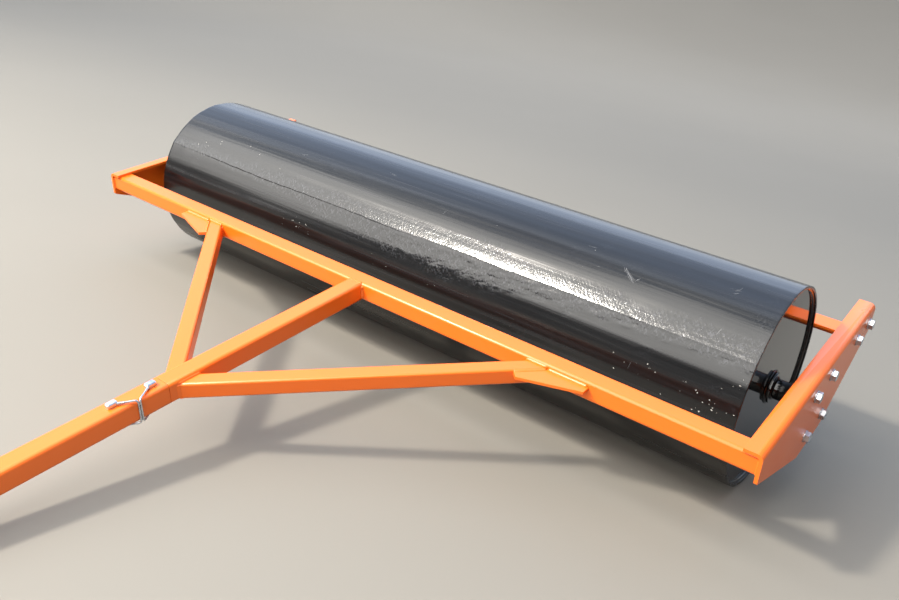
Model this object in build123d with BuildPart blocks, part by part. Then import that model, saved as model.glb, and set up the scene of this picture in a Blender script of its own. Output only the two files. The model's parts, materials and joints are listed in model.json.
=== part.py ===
"""Trailed land roller: a steel drum in a welded and bolted tube frame, parked on its drawbar's nose.

Millimetres, +Z up. +X runs along the drum, to the right of someone who looks from the hitch
towards the drum, and -Y is the way that the roller is towed. The origin is on the ground, under
the middle of the footprint. The frame leans about the axle until its hitch rests on the ground.
"""
import os
from math import asin, atan2, cos, degrees, hypot, sin

from build123d import *

os.makedirs("parts", exist_ok=True)

# Drum: a length of 20 inch pipe, closed by discs, turning on two stub axles
DRUM_LENGTH = 2000.0
DRUM_RADIUS = 254.0
DRUM_SHIFT = 14.0           # how far the drum sits to the left of the frame's middle
SHELL_WALL = 8.0
DISC_THICKNESS = 10.0
DISC_RECESS = 8.0           # from the shell's end in to the disc's outer face
WELD_GAP = 0.2              # between the disc's rim and the shell, filled by the weld
AXLE_RADIUS = 25.0
AXLE_INSIDE = 30.0          # how far the stub axle reaches behind the disc
COLLAR_RADIUS = 38.0        # welded collar on the disc's outer face
COLLAR_LENGTH = 10.0

# Square tube, used for the front beam, the centre tube and the drawbar
TUBE = 50.0
TUBE_WALL = 4.0
TUBE_CORNER = 8.0           # outside corner radius

# Frame, measured from the axle with the frame level
TUBE_TOP = 90.0             # top face of every tube above the axle
BEAM_GAP = 81.0             # between the drum and the front beam
REAR_MARGIN = 50.0          # from the rear bar back to the end members' rear edge
SIDE_GAP = 82.0             # mean gap between the drum's ends and the end members' webs

# End members: 8 mm plate folded to a flange on top and a web outside, tapered to both ends
PLATE = 8.0
BEND_INSIDE = 6.0
FLANGE_WIDTH = 42.0
WEB_END_DEPTH = 72.0
WEB_MID_DEPTH = 203.0
WEB_MID_HALF = 80.0         # half the length of the deep, flat part below the bearing
WEB_CORNER = 6.0
WEB_AHEAD = 5.0             # from the front beam's face forward to the end members' edges

# Rear bar: a folded angle behind the drum, with a bolted plate at each end
REAR_BAR_GAP = 16.0         # from the drum's rearmost line to the bar's front edge
REAR_BAR_WIDTH = 65.0
REAR_BAR_DEPTH = 45.0
REAR_BAR_DROP = 38.0        # the bar's top face below the tubes' top face
END_PLATE_LENGTH = 140.0
END_PLATE_HEIGHT = 54.0
END_PLATE_PITCH = 100.0
END_PLATE_TOP_GAP = 6.0     # below the end member's flange

# Bearing units: square cast flange housings, bolted inside the webs
BEARING_FLANGE = 143.0
BEARING_PITCH = 111.0
BEARING_CORNER = 18.0
BEARING_FLANGE_THICKNESS = 15.0
BEARING_HEIGHT = 42.0
BEARING_BOSS_BASE = 56.0
BEARING_BOSS_TOP = 48.0
BEARING_FILLET = 4.0        # between the flange and the boss
RING_OUTSIDE = 42.0
RING_SEAT_GAP = 0.2         # between the outer ring and its housing
RING_INSET = 8.0            # from the web in to the outer ring
RING_LENGTH = 28.0
RING_CLEARANCE = 0.05       # between the rings
INNER_RING_RADIUS = 31.0    # the inner ring, locked on the stub axle
INNER_RING_LENGTH = 50.0
INNER_RING_INSET = 4.0      # from the stub axle's tip in to the inner ring
AXLE_END_GAP = 2.0          # from the stub axle's tip to the web
BOLT_HOLE = 17.5            # for M16 bolts

# Braces: smaller square tube at 45 degrees, level with the bottom of the other tubes
BRACE = 40.0
BRACE_WALL = 3.0
BRACE_CORNER = 6.0
APEX = 566.0                # from the beam's front face forward to where the centre lines meet
SEAM_AHEAD = 25.0           # from there forward to the centre tube's end
SEAM_GAP = 1.2              # between the centre tube and the drawbar

# Gussets between the braces and the beam
GUSSET = 8.0
GUSSET_DROP = 13.0          # below the tubes' top face
GUSSET_ON_BEAM = 106.0
GUSSET_ON_BRACE = 78.0
GUSSET_CLIP = 22.0          # the squared-off ends

# Drawbar, a slide fit on the spigot and held by two lock pins
DRAWBAR_LENGTH = 630.0
SPIGOT_CLEARANCE = 0.3
SPIGOT_WALL = 4.0
SPIGOT_CORNER = 5.0
SPIGOT_INSIDE = 110.0       # its length inside the centre tube
SPIGOT_OUT = 150.0          # its length inside the drawbar
PIN_RADIUS = 6.0
PIN_CLEARANCE = 0.2
PIN_FIRST = 28.0            # from the seam to the first pin
PIN_PITCH = 92.0
PIN_HEAD_LENGTH = 25.0
PIN_HEAD_WIDTH = 15.0
PIN_HEAD_HEIGHT = 10.0
PIN_HEAD_CORNER = 5.0
PIN_HEAD_CHAMFER = 2.0
PIN_TIP = 12.0              # how far the pin stands out below the drawbar
WIRE_RADIUS = 2.2
WIRE_GAP = 0.3              # between the wire and the tube
WIRE_BEND = 7.0
SLEEVE_RADIUS = 4.2         # tapered sleeve that holds the wire in the pin's head
SLEEVE_LENGTH = 26.0        # from the pin's middle to the sleeve's thin end
SLEEVE_TAPER = 4.0          # degrees

# Hitch: two plates that make a clevis for a 25 mm drawbar pin
CLEVIS_PLATE = 10.0
CLEVIS_ON_TUBE = 80.0
CLEVIS_REACH = 60.0         # from the drawbar's end to the pin hole's centre
CLEVIS_HOLE = 13.0
CAP = 5.0                   # plate that closes the drawbar's end

# Places along the frame's length, measured from the axle, forward or to the rear
BEAM_FRONT = DRUM_RADIUS + BEAM_GAP + TUBE
MEMBER_FRONT = BEAM_FRONT + WEB_AHEAD
REAR_BAR_FRONT = DRUM_RADIUS + REAR_BAR_GAP
REAR_BAR_MID = REAR_BAR_FRONT + REAR_BAR_WIDTH / 2
REAR_END = REAR_BAR_FRONT + REAR_BAR_WIDTH + REAR_MARGIN
SEAM = BEAM_FRONT + APEX + SEAM_AHEAD
DRAWBAR_END = SEAM + SEAM_GAP + DRAWBAR_LENGTH
PIN_HOLE = DRAWBAR_END + CLEVIS_REACH
NOSE = PIN_HOLE + TUBE / 2

# Lean of the parked frame: the lower clevis plate's nose comes down to the ground
NOSE_BOTTOM = TUBE_TOP - TUBE - CLEVIS_PLATE
NOSE_TOP = TUBE_TOP + CLEVIS_PLATE
LEAN = atan2(NOSE_BOTTOM, NOSE) + asin(DRUM_RADIUS / hypot(NOSE, NOSE_BOTTOM))

# The axle's place, with the origin under the middle of the footprint
FLANGE_TOP = TUBE_TOP + PLATE
FRONT_REACH = NOSE * cos(LEAN) + NOSE_TOP * sin(LEAN)
REAR_REACH = REAR_END * cos(LEAN) - (FLANGE_TOP - WEB_END_DEPTH) * sin(LEAN)
AXLE_Y = (FRONT_REACH - REAR_REACH) / 2
FRAME = Plane(
    origin=(0, AXLE_Y, DRUM_RADIUS), x_dir=(1, 0, 0), z_dir=(0, -sin(LEAN), cos(LEAN))
)

# Places out from the middle, alike on both sides
WEB_INSIDE = DRUM_LENGTH / 2 + SIDE_GAP
WEB_OUTSIDE = WEB_INSIDE + PLATE
AXLE_TIP = WEB_INSIDE - AXLE_END_GAP
INNER_RING_END = AXLE_TIP - INNER_RING_INSET
INNER_RING_START = INNER_RING_END - INNER_RING_LENGTH
RING_BORE = INNER_RING_RADIUS + RING_CLEARANCE

# Heights above the axle, and the lock pins' places
TUBE_MID = TUBE_TOP - TUBE / 2
BRACE_MID = TUBE_TOP - TUBE + BRACE / 2
REAR_BAR_TOP = TUBE_TOP - REAR_BAR_DROP
END_PLATE_TOP = TUBE_TOP - END_PLATE_TOP_GAP
SPIGOT_SIZE = TUBE - 2 * TUBE_WALL - 2 * SPIGOT_CLEARANCE
PIN_PLACES = {"rear": -(SEAM + PIN_FIRST), "front": -(SEAM + PIN_FIRST + PIN_PITCH)}
PIN_MEET = -(SEAM + PIN_FIRST + PIN_PITCH / 2)
SIDES = {"left": -1, "right": 1}


def framed(plane):
    """The same plane, leaning with the parked frame and measured from the axle."""
    return Plane(FRAME.location * plane.location)


def across(x):
    """A plane across the drum at x, its own x along the frame and its own y up."""
    return framed(Plane(origin=(x, 0, 0), x_dir=(0, 1, 0), z_dir=(1, 0, 0)))


def facing_front(y):
    """A plane across the frame at y, facing forward, its own x to the right and its own y up."""
    return framed(Plane(origin=(0, y, 0), x_dir=(1, 0, 0), z_dir=(0, -1, 0)))


def level(z):
    """A plane level with the frame at z, its own y to the rear."""
    return framed(Plane.XY.offset(z))


def save(part, name):
    """Label a finished piece and write it as its own file."""
    part.part.label = name
    export_step(part.part, f"parts/{name}.step")


def disc_face(sign):
    """How far out from the middle the end disc's outer face is, on one side."""
    return DRUM_LENGTH / 2 - DISC_RECESS - sign * DRUM_SHIFT


def tube_section(size, wall, corner):
    """The section of a square tube: rounded outside and, by the wall's thickness less, inside."""
    inside = size - 2 * wall
    RectangleRounded(size, size, corner)
    RectangleRounded(inside, inside, corner - wall, mode=Mode.SUBTRACT)


# Drum shell
with BuildPart() as drum_shell:
    with BuildSketch(across(-DRUM_LENGTH / 2 - DRUM_SHIFT)):
        Circle(DRUM_RADIUS)
        Circle(DRUM_RADIUS - SHELL_WALL, mode=Mode.SUBTRACT)
    extrude(amount=DRUM_LENGTH)
save(drum_shell, "drum_shell")

# Drum ends, and stub axles that each carry a collar and the bearing's inner ring
for side, sign in SIDES.items():
    with BuildPart() as end_disc:
        with BuildSketch(across(sign * disc_face(sign))):
            Circle(DRUM_RADIUS - SHELL_WALL - WELD_GAP)
            Circle(AXLE_RADIUS + WELD_GAP, mode=Mode.SUBTRACT)
        extrude(amount=-sign * DISC_THICKNESS)
    save(end_disc, f"end_disc_{side}")

    face = disc_face(sign)
    start = face - DISC_THICKNESS - AXLE_INSIDE
    outline = [
        (start, 0),
        (start, AXLE_RADIUS),
        (face, AXLE_RADIUS),
        (face, COLLAR_RADIUS),
        (face + COLLAR_LENGTH, COLLAR_RADIUS),
        (face + COLLAR_LENGTH, AXLE_RADIUS),
        (INNER_RING_START, AXLE_RADIUS),
        (INNER_RING_START, INNER_RING_RADIUS),
        (INNER_RING_END, INNER_RING_RADIUS),
        (INNER_RING_END, AXLE_RADIUS),
        (AXLE_TIP, AXLE_RADIUS),
        (AXLE_TIP, 0),
    ]
    with BuildPart() as stub_axle:
        with BuildSketch(framed(Plane.XY)):
            with BuildLine():
                Polyline([(sign * x, r) for x, r in outline], close=True)
            make_face()
        revolve(axis=Axis(FRAME.origin, FRAME.x_dir))
    save(stub_axle, f"stub_axle_{side}")

# Bearing units: a square cast flange with a round boss, and the outer ring held in it
for side, sign in SIDES.items():
    with BuildPart() as bearing:
        with BuildSketch(across(sign * WEB_INSIDE)):
            RectangleRounded(BEARING_FLANGE, BEARING_FLANGE, BEARING_CORNER)
            with GridLocations(BEARING_PITCH, BEARING_PITCH, 2, 2):
                Circle(BOLT_HOLE / 2, mode=Mode.SUBTRACT)
        extrude(amount=-sign * BEARING_FLANGE_THICKNESS)
        with BuildSketch(across(sign * (WEB_INSIDE - BEARING_FLANGE_THICKNESS))):
            Circle(BEARING_BOSS_BASE)
        with BuildSketch(across(sign * (WEB_INSIDE - BEARING_HEIGHT))):
            Circle(BEARING_BOSS_TOP)
        loft()
        foot = bearing.edges().filter_by(GeomType.CIRCLE).sort_by(SortBy.RADIUS)[-1]
        fillet(foot, BEARING_FILLET)
        with BuildSketch(across(sign * WEB_INSIDE)):
            Circle(RING_OUTSIDE)
        extrude(amount=-sign * BEARING_HEIGHT, mode=Mode.SUBTRACT)
    save(bearing, f"bearing_housing_{side}")

    with BuildPart() as ring:
        with BuildSketch(across(sign * (WEB_INSIDE - RING_INSET))):
            Circle(RING_OUTSIDE - RING_SEAT_GAP)
            Circle(RING_BORE, mode=Mode.SUBTRACT)
        extrude(amount=-sign * RING_LENGTH)
    save(ring, f"bearing_ring_{side}")

# End members: the folded section along the frame, its web trimmed to a tapered outline
for side, sign in SIDES.items():
    section = [
        (WEB_OUTSIDE - FLANGE_WIDTH, FLANGE_TOP),
        (WEB_OUTSIDE, FLANGE_TOP),
        (WEB_OUTSIDE, FLANGE_TOP - WEB_MID_DEPTH),
        (WEB_INSIDE, FLANGE_TOP - WEB_MID_DEPTH),
        (WEB_INSIDE, TUBE_TOP),
        (WEB_OUTSIDE - FLANGE_WIDTH, TUBE_TOP),
    ]
    bends = [0, BEND_INSIDE + PLATE, 0, 0, BEND_INSIDE, 0]
    with BuildPart() as end_member:
        with BuildSketch(facing_front(-MEMBER_FRONT)):
            with BuildLine():
                FilletPolyline([(sign * x, z) for x, z in section], radius=bends, close=True)
            make_face()
        extrude(amount=-(MEMBER_FRONT + REAR_END))
        with BuildSketch(across(sign * (WEB_OUTSIDE + PLATE))):
            with BuildLine():
                FilletPolyline(
                    (-MEMBER_FRONT, FLANGE_TOP),
                    (-MEMBER_FRONT, FLANGE_TOP - WEB_END_DEPTH),
                    (-WEB_MID_HALF, FLANGE_TOP - WEB_MID_DEPTH),
                    (WEB_MID_HALF, FLANGE_TOP - WEB_MID_DEPTH),
                    (REAR_END, FLANGE_TOP - WEB_END_DEPTH),
                    (REAR_END, FLANGE_TOP),
                    radius=[0, WEB_CORNER, WEB_CORNER, WEB_CORNER, WEB_CORNER, 0],
                    close=True,
                )
            make_face()
        extrude(amount=-sign * (FLANGE_WIDTH + 2 * PLATE), mode=Mode.INTERSECT)
        with BuildSketch(across(sign * WEB_OUTSIDE)):
            with GridLocations(BEARING_PITCH, BEARING_PITCH, 2, 2):
                Circle(BOLT_HOLE / 2)
            with Locations((REAR_BAR_MID, BEARING_PITCH / 2)):
                with GridLocations(END_PLATE_PITCH, 0, 2, 1):
                    Circle(BOLT_HOLE / 2)
        extrude(amount=-sign * PLATE, mode=Mode.SUBTRACT)
    save(end_member, f"end_member_{side}")

# Front beam, between the webs and under the flanges, bevelled where the end members bend
with BuildPart() as front_beam:
    with BuildSketch(across(-WEB_INSIDE)):
        with Locations((-BEAM_FRONT + TUBE / 2, TUBE_MID)):
            tube_section(TUBE, TUBE_WALL, TUBE_CORNER)
    extrude(amount=2 * WEB_INSIDE)
    for sign in SIDES.values():
        bevel = [
            (WEB_INSIDE, TUBE_TOP),
            (WEB_INSIDE - BEND_INSIDE, TUBE_TOP),
            (WEB_INSIDE, TUBE_TOP - BEND_INSIDE),
        ]
        with BuildSketch(facing_front(-BEAM_FRONT)):
            with BuildLine():
                Polyline([(sign * x, z) for x, z in bevel], close=True)
            make_face()
        extrude(amount=-TUBE, mode=Mode.SUBTRACT)
save(front_beam, "front_beam")

# Rear bar: an angle with its level leg towards the drum
with BuildPart() as rear_bar:
    rear_edge = REAR_BAR_FRONT + REAR_BAR_WIDTH
    with BuildSketch(across(-WEB_INSIDE + PLATE)):
        with BuildLine():
            FilletPolyline(
                (REAR_BAR_FRONT, REAR_BAR_TOP),
                (rear_edge, REAR_BAR_TOP),
                (rear_edge, REAR_BAR_TOP - REAR_BAR_DEPTH),
                (rear_edge - PLATE, REAR_BAR_TOP - REAR_BAR_DEPTH),
                (rear_edge - PLATE, REAR_BAR_TOP - PLATE),
                (REAR_BAR_FRONT, REAR_BAR_TOP - PLATE),
                radius=[0, BEND_INSIDE + PLATE, 0, 0, BEND_INSIDE, 0],
                close=True,
            )
        make_face()
    extrude(amount=2 * (WEB_INSIDE - PLATE))
save(rear_bar, "rear_bar")

# Plates on the rear bar's ends, each with two bolt holes
for side, sign in SIDES.items():
    with BuildPart() as end_plate:
        with BuildSketch(across(sign * WEB_INSIDE)):
            with Locations((REAR_BAR_MID, END_PLATE_TOP - END_PLATE_HEIGHT / 2)):
                Rectangle(END_PLATE_LENGTH, END_PLATE_HEIGHT)
            with Locations((REAR_BAR_MID, BEARING_PITCH / 2)):
                with GridLocations(END_PLATE_PITCH, 0, 2, 1):
                    Circle(BOLT_HOLE / 2, mode=Mode.SUBTRACT)
        extrude(amount=-sign * PLATE)
    save(end_plate, f"rear_bar_plate_{side}")

# Centre tube, from the front beam to the seam
with BuildPart() as centre_tube:
    with BuildSketch(facing_front(-BEAM_FRONT)):
        with Locations((0, TUBE_MID)):
            tube_section(TUBE, TUBE_WALL, TUBE_CORNER)
    extrude(amount=SEAM - BEAM_FRONT)
save(centre_tube, "centre_tube")

# Braces, mitred to the centre tube and to the beam
for side, sign in SIDES.items():
    apex = (0, -BEAM_FRONT - APEX, BRACE_MID)
    with BuildPart() as brace:
        slanted = Plane(origin=apex, x_dir=(1, -sign, 0), z_dir=(sign, 1, 0))
        with BuildSketch(framed(slanted)):
            tube_section(BRACE, BRACE_WALL, BRACE_CORNER)
        extrude(amount=2 * APEX)
        split(bisect_by=across(sign * TUBE / 2), keep=Keep.TOP if sign > 0 else Keep.BOTTOM)
        split(bisect_by=facing_front(-BEAM_FRONT), keep=Keep.TOP)
    save(brace, f"brace_{side}")

# Gussets in the corners between the braces' outer faces and the beam
for side, sign in SIDES.items():
    corner = APEX + BRACE / 2 * 2 ** 0.5
    along = GUSSET_ON_BRACE / 2 ** 0.5
    clip = GUSSET_CLIP / 2 ** 0.5
    outline = [
        (corner, -BEAM_FRONT),
        (corner + GUSSET_ON_BEAM, -BEAM_FRONT),
        (corner + GUSSET_ON_BEAM, -BEAM_FRONT - GUSSET_CLIP),
        (corner - along + clip, -BEAM_FRONT - along - clip),
        (corner - along, -BEAM_FRONT - along),
    ]
    with BuildPart() as gusset:
        with BuildSketch(level(TUBE_TOP - GUSSET_DROP)):
            with BuildLine():
                Polyline([(sign * x, y) for x, y in outline], close=True)
            make_face()
        extrude(amount=-GUSSET)
    save(gusset, f"gusset_{side}")

# Spigot, a smaller tube inside the centre tube and the drawbar
with BuildPart() as spigot:
    with BuildSketch(facing_front(-SEAM + SPIGOT_INSIDE)):
        with Locations((0, TUBE_MID)):
            tube_section(SPIGOT_SIZE, SPIGOT_WALL, SPIGOT_CORNER)
    extrude(amount=SPIGOT_INSIDE + SPIGOT_OUT)
    with BuildSketch(level(TUBE_TOP)):
        with Locations([(0, y) for y in PIN_PLACES.values()]):
            Circle(PIN_RADIUS + PIN_CLEARANCE)
    extrude(amount=-TUBE, mode=Mode.SUBTRACT)
save(spigot, "spigot")

# Drawbar, closed at its front end
with BuildPart() as drawbar:
    with BuildSketch(facing_front(-SEAM - SEAM_GAP)):
        with Locations((0, TUBE_MID)):
            RectangleRounded(TUBE, TUBE, TUBE_CORNER)
    extrude(amount=DRAWBAR_LENGTH)
    with BuildSketch(facing_front(-SEAM - SEAM_GAP)):
        with Locations((0, TUBE_MID)):
            RectangleRounded(TUBE - 2 * TUBE_WALL, TUBE - 2 * TUBE_WALL, TUBE_CORNER - TUBE_WALL)
    extrude(amount=DRAWBAR_LENGTH - CAP, mode=Mode.SUBTRACT)
    with BuildSketch(level(TUBE_TOP)):
        with Locations([(0, y) for y in PIN_PLACES.values()]):
            Circle(PIN_RADIUS + PIN_CLEARANCE)
    extrude(amount=-TUBE, mode=Mode.SUBTRACT)
save(drawbar, "drawbar")

# Clevis plates on top of and below the drawbar's end
for place, face in {"top": NOSE_TOP, "bottom": TUBE_TOP - TUBE}.items():
    with BuildPart() as clevis:
        with BuildSketch(level(face)):
            rear = CLEVIS_ON_TUBE - DRAWBAR_END
            half = TUBE / 2
            with BuildLine():
                Polyline((-half, -PIN_HOLE), (-half, rear), (half, rear), (half, -PIN_HOLE))
                ThreePointArc((half, -PIN_HOLE), (0, -NOSE), (-half, -PIN_HOLE))
            make_face()
            with Locations((0, -PIN_HOLE)):
                Circle(CLEVIS_HOLE, mode=Mode.SUBTRACT)
        extrude(amount=-CLEVIS_PLATE)
    save(clevis, f"clevis_plate_{place}")

# Lock pins: a pin through drawbar and spigot, with a sprung wire from its head round to its tip
for place, y in PIN_PLACES.items():
    toward = 1 if PIN_MEET > y else -1
    wire_y = PIN_MEET - toward * (WIRE_RADIUS + WIRE_GAP)
    over = TUBE_TOP + WIRE_GAP + SLEEVE_RADIUS
    under = TUBE_TOP - TUBE - WIRE_GAP - WIRE_RADIUS
    beside = TUBE / 2 + WIRE_GAP + WIRE_RADIUS
    with BuildPart() as lock_pin:
        with BuildSketch(level(TUBE_TOP + WIRE_GAP)):
            with Locations((0, y)):
                Circle(PIN_RADIUS)
        extrude(amount=-(TUBE + PIN_TIP))
        with BuildSketch(level(TUBE_TOP + WIRE_GAP)):
            with Locations((0, y)):
                RectangleRounded(PIN_HEAD_WIDTH, PIN_HEAD_LENGTH, PIN_HEAD_CORNER)
        extrude(amount=PIN_HEAD_HEIGHT)
        head_top = lock_pin.faces().sort_by(Axis(FRAME.origin, FRAME.z_dir))[-1]
        chamfer(head_top.edges(), PIN_HEAD_CHAMFER)
        with BuildLine():
            bail = FilletPolyline(
                FRAME.from_local_coords(Vector(0, y, over)),
                FRAME.from_local_coords(Vector(beside, wire_y, over)),
                FRAME.from_local_coords(Vector(beside, wire_y, under)),
                FRAME.from_local_coords(Vector(0, y, under)),
                radius=WIRE_BEND,
            )
        with BuildSketch(Plane(origin=bail @ 0, z_dir=bail % 0)):
            Circle(WIRE_RADIUS)
        sweep()
        with BuildSketch(Plane(origin=bail @ 0, z_dir=bail % 0)):
            Circle(SLEEVE_RADIUS)
        extrude(amount=SLEEVE_LENGTH, taper=SLEEVE_TAPER)
    save(lock_pin, f"lock_pin_{place}")

print(f"The parked frame leans {degrees(LEAN):.2f} degrees, with its axle at y {AXLE_Y:.1f}")
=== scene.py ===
# %% [markdown]
# # A trailed land roller
# A steel drum turns in a frame of square tube, and a Y-shaped drawbar frame tows it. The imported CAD
# model is the frame of this lesson: its tubes and plates stay where they are and get paint and
# softened edges. What a CAD model leaves out is built here in mesh code: the drum's worn skin, the
# welds, the bolts and the small fittings.

# %% Load the frame
import json
import math
import random

import bpy
import numpy as np
from mathutils import Matrix, Vector

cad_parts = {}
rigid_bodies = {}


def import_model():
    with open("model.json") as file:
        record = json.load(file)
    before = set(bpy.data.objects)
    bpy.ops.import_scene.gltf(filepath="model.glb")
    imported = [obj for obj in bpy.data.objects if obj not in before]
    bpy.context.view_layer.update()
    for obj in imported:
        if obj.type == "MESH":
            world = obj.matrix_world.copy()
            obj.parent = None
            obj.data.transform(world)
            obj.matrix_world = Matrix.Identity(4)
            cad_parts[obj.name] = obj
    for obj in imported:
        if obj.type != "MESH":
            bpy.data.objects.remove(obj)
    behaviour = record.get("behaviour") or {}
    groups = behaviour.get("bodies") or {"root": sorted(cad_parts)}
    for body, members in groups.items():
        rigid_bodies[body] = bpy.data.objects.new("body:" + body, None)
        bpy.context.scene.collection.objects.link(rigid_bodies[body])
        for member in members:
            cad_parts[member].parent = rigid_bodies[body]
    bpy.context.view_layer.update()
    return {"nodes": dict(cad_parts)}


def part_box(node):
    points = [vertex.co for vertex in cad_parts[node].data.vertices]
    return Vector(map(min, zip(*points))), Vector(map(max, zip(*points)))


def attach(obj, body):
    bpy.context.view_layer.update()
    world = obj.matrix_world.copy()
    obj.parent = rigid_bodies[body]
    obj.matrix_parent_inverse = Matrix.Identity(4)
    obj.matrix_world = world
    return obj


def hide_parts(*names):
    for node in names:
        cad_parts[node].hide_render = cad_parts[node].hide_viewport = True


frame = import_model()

# %% [markdown]
# ## Places
# The roller is parked with its hitch on the ground, so its frame leans forward about the axle. It
# would be tedious to give every weld in leaning coordinates. The lesson measures from the axle with
# the frame level, in millimetres: x to the right, y to the rear, z up. One matrix then puts the
# piece in its place. The lean is not typed in but read from where the CAD has the front beam.

# %% The stand matrix
MM = 0.001
BEAM_AHEAD = 360.0          # the front beam's middle, forward of the axle
TUBE_MID = 65.0             # and above it
DRUM_RADIUS = 254.0
DRUM_HALF = 1000.0          # half the drum's length


def middle_of(node):
    """The middle of a CAD node's box, in metres."""
    low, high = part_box(node)
    return (low + high) / 2


drum_middle = middle_of("drum_shell")
axle = Vector((0, drum_middle.y, drum_middle.z))
beam = middle_of("front_beam") - axle
LEAN = math.atan2(TUBE_MID, BEAM_AHEAD) - math.atan2(beam.z, -beam.y)
STAND = Matrix.Translation(axle) @ Matrix.Rotation(LEAN, 4, "X")
print(f"The frame leans {math.degrees(LEAN):.2f} degrees about the axle at {axle.y:.3f}, {axle.z:.3f} m")

# %% [markdown]
# ## Camera
# The camera stands ahead of the roller, to the right of its drawbar, and looks down on it. Its place,
# turn and focal length were worked out from the straight edges of the frame and the drum's ends, and
# are given from the axle with the frame level, so that they fit the leaning roller as well.

# %% The camera
PHOTO_WIDTH = 899.0
FOCAL_PIXELS = 863.27
CAMERA_PLACE = Vector((1389.86, -1796.96, 1170.79))
CAMERA_YAW = 37.384
CAMERA_PITCH = 29.893       # below level
CAMERA_ROLL = 1.901

camera_data = bpy.data.cameras.new("photo_camera")
camera_data.sensor_width = 36.0
camera_data.lens = FOCAL_PIXELS * camera_data.sensor_width / PHOTO_WIDTH
camera = bpy.data.objects.new("photo_camera", camera_data)
bpy.context.scene.collection.objects.link(camera)
turn = Matrix.Rotation(math.radians(CAMERA_YAW), 4, "Z")
tilt = Matrix.Rotation(math.radians(90 - CAMERA_PITCH), 4, "X")
roll = Matrix.Rotation(math.radians(CAMERA_ROLL), 4, "Z")
camera.matrix_world = STAND @ Matrix.Translation(CAMERA_PLACE * MM) @ turn @ tilt @ roll
bpy.context.scene.camera = camera
print("Camera at", [round(v, 3) for v in camera.matrix_world.translation])
print("Lens", round(camera_data.lens, 2), "mm")

# %% [markdown]
# ## Colours and nodes
# A paint chart gives colours as sRGB hex values, but Blender mixes light in linear numbers, so one
# function turns the one into the other. A second function adds a node, sets its sockets and links
# it in one call, which keeps a material readable as a short list of steps.

# %% Helpers for materials
def linear(colour):
    """An sRGB hex value as a linear colour with alpha."""
    parts = [int(colour[i:i + 2], 16) / 255 for i in (1, 3, 5)]
    return [v / 12.92 if v <= 0.04045 else ((v + 0.055) / 1.055) ** 2.4 for v in parts] + [1.0]


def add(tree, kind, inputs=None, **settings):
    """Add a node; an input that is given a socket is linked, and any other is set."""
    node = tree.nodes.new("ShaderNode" + kind)
    for name, value in settings.items():
        setattr(node, name, value)
    for name, value in (inputs or {}).items():
        if isinstance(value, bpy.types.NodeSocket):
            tree.links.new(value, node.inputs[name])
        else:
            node.inputs[name].default_value = value
    return node


def surface(name):
    """A new material, its empty node tree, its output, and the place that its patterns follow."""
    material = bpy.data.materials.new(name)
    material.use_nodes = True
    tree = material.node_tree
    tree.nodes.clear()
    output = add(tree, "OutputMaterial")
    return material, tree, output, add(tree, "TexCoord").outputs["Object"]


ORANGE = "#E96917"
print("Orange in linear numbers:", [round(v, 3) for v in linear(ORANGE)])

# %% [markdown]
# ## Floor and light
# Gloss paint shows what it mirrors, so the lights are placed from the drum outwards. One function
# follows the camera's ray to a place on the drum and on from there as a mirror would send it. A
# second puts a long softbox there, just as deep as the part of the drum that it has to fill. A
# small, bright key light gives the crisp shadows and the glint along the weld. The dome is a cool
# sky behind the roller and dimmer in front and to the right, which keeps that side's paint deep.
# The pale floor curves up far away, so that it has no horizon.

# %% Matt paint for the floor
def matt(name, dark, pale, blotches, roughness):
    """A dull layer, blotched between two tones, with so many blotches to the metre."""
    material, tree, output, where = surface(name)
    blotch = add(tree, "TexNoise", {"Vector": where, "Scale": blotches, "Detail": 3.0})
    colour = add(tree, "Mix", {
        0: blotch.outputs["Fac"], 6: linear(dark), 7: linear(pale)}, data_type="RGBA")
    shader = add(tree, "BsdfPrincipled", {"Base Color": colour.outputs[2], "Roughness": roughness})
    tree.links.new(shader.outputs[0], output.inputs["Surface"])
    return material


floor_paint = matt("matt_floor_paint", "#76726A", "#7A766E", 0.8, 0.9)
print("Floor material:", floor_paint.name)

# %% The floor and the curve behind it
def grid_faces(rows, columns, close_rows=False, close_columns=False):
    """Quads between the points of a grid that is stored row by row."""
    faces = []
    for i in range(rows if close_rows else rows - 1):
        for j in range(columns if close_columns else columns - 1):
            a, b = i * columns, (i + 1) % rows * columns
            faces.append((a + j, a + (j + 1) % columns, b + (j + 1) % columns, b + j))
    return faces


FLOOR_RADIUS = 8.0
SWEEP_RADIUS = 12.0
SWEEP_END = 36.0            # the sweep stops at this slope
SWEEP_STEPS = 12
SPOKES = 96
floor_profile = [(0.01, 0.0), (FLOOR_RADIUS / 2, 0.0), (FLOOR_RADIUS, 0.0)]
for step in range(1, SWEEP_STEPS + 1):
    bend = math.radians(SWEEP_END * step / SWEEP_STEPS)
    rise = SWEEP_RADIUS * (1 - math.cos(bend))
    floor_profile.append((FLOOR_RADIUS + SWEEP_RADIUS * math.sin(bend), rise))
points = []
for radius, rise in floor_profile:
    for step in range(SPOKES):
        a = math.tau * step / SPOKES
        points.append((radius * math.cos(a), radius * math.sin(a), rise))
faces = [face[::-1] for face in grid_faces(len(floor_profile), SPOKES, close_columns=True)]
faces.append(tuple(range(SPOKES)))
floor_data = bpy.data.meshes.new("studio_floor")
floor_data.from_pydata(points, [], faces)
floor_data.materials.append(floor_paint)
floor_data.polygons.foreach_set("use_smooth", [True] * len(floor_data.polygons))
studio_floor = bpy.data.objects.new("studio_floor", floor_data)
bpy.context.scene.collection.objects.link(studio_floor)
print("Floor radius", FLOOR_RADIUS, "m, rising to", round(floor_profile[-1][1], 2), "m")

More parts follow.
